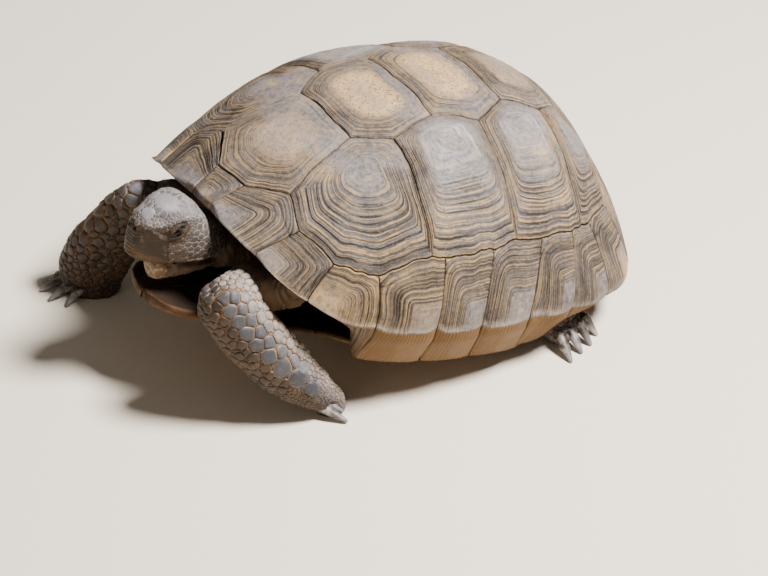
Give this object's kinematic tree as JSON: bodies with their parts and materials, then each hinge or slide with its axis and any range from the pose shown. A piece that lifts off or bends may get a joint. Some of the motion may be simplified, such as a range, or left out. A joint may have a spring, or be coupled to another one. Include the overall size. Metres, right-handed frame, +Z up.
{
  "type": "tortoise model",
  "caption": "Life-size desert tortoise standing with its head raised: domed shell of ringed plates, scaled legs with claws, head with a beak.",
  "frame": {"origin": "centre of the model's box, on the floor it stands on", "axes": "+Z up; the head faces -Y; +X is the animal's left"},
  "size_m": [0.2314, 0.3022, 0.1442],
  "materials": {
    "vertebral_horn": "dusty grey-brown horn in growth rings, paler in the middle of each plate",
    "costal_horn": "dusty lilac-grey horn in strong growth rings, ochre between them",
    "marginal_horn": "ringed horn, ochre in the middle and blue-grey with a pale worn edge at the rim",
    "plastron_horn": "tan to ochre horn, smooth in front, ringed along the bridge",
    "skin": "dark brown soft skin in fine folds and small scales",
    "leg_scales": "blue-grey rounded scales with tan skin between them, grey horn claws",
    "head_scales": "grey-lilac head scales with fine pale outlines",
    "beak_horn": "tan-brown ridged horn",
    "eye": "wet dark brown eye"
  },
  "bodies": {
    "root": {"abdominal_left": "plastron_horn", "abdominal_right": "plastron_horn", "anal_left": "plastron_horn", "anal_right": "plastron_horn", "costal_left_1": "costal_horn", "costal_left_2": "costal_horn", "costal_left_3": "costal_horn", "costal_left_4": "costal_horn", "costal_right_1": "costal_horn", "costal_right_2": "costal_horn", "costal_right_3": "costal_horn", "costal_right_4": "costal_horn", "eye_left": "eye", "eye_right": "eye", "femoral_left": "plastron_horn", "femoral_right": "plastron_horn", "foreleg_left": "leg_scales", "foreleg_right": "leg_scales", "gular_left": "plastron_horn", "gular_right": "plastron_horn", "head": "head_scales", "hindleg_left": "leg_scales", "hindleg_right": "leg_scales", "humeral_left": "plastron_horn", "humeral_right": "plastron_horn", "jaw": "beak_horn", "marginal_left_1": "marginal_horn", "marginal_left_10": "marginal_horn", "marginal_left_11": "marginal_horn", "marginal_left_2": "marginal_horn", "marginal_left_3": "marginal_horn", "marginal_left_4": "marginal_horn", "marginal_left_5": "marginal_horn", "marginal_left_6": "marginal_horn", "marginal_left_7": "marginal_horn", "marginal_left_8": "marginal_horn", "marginal_left_9": "marginal_horn", "marginal_right_1": "marginal_horn", "marginal_right_10": "marginal_horn", "marginal_right_11": "marginal_horn", "marginal_right_2": "marginal_horn", "marginal_right_3": "marginal_horn", "marginal_right_4": "marginal_horn", "marginal_right_5": "marginal_horn", "marginal_right_6": "marginal_horn", "marginal_right_7": "marginal_horn", "marginal_right_8": "marginal_horn", "marginal_right_9": "marginal_horn", "neck": "skin", "nuchal": "marginal_horn", "pectoral_left": "plastron_horn", "pectoral_right": "plastron_horn", "supracaudal": "marginal_horn", "tail": "skin", "trunk": "skin", "vertebral_1": "vertebral_horn", "vertebral_2": "vertebral_horn", "vertebral_3": "vertebral_horn", "vertebral_4": "vertebral_horn", "vertebral_5": "vertebral_horn"}
  },
  "joints": []
}
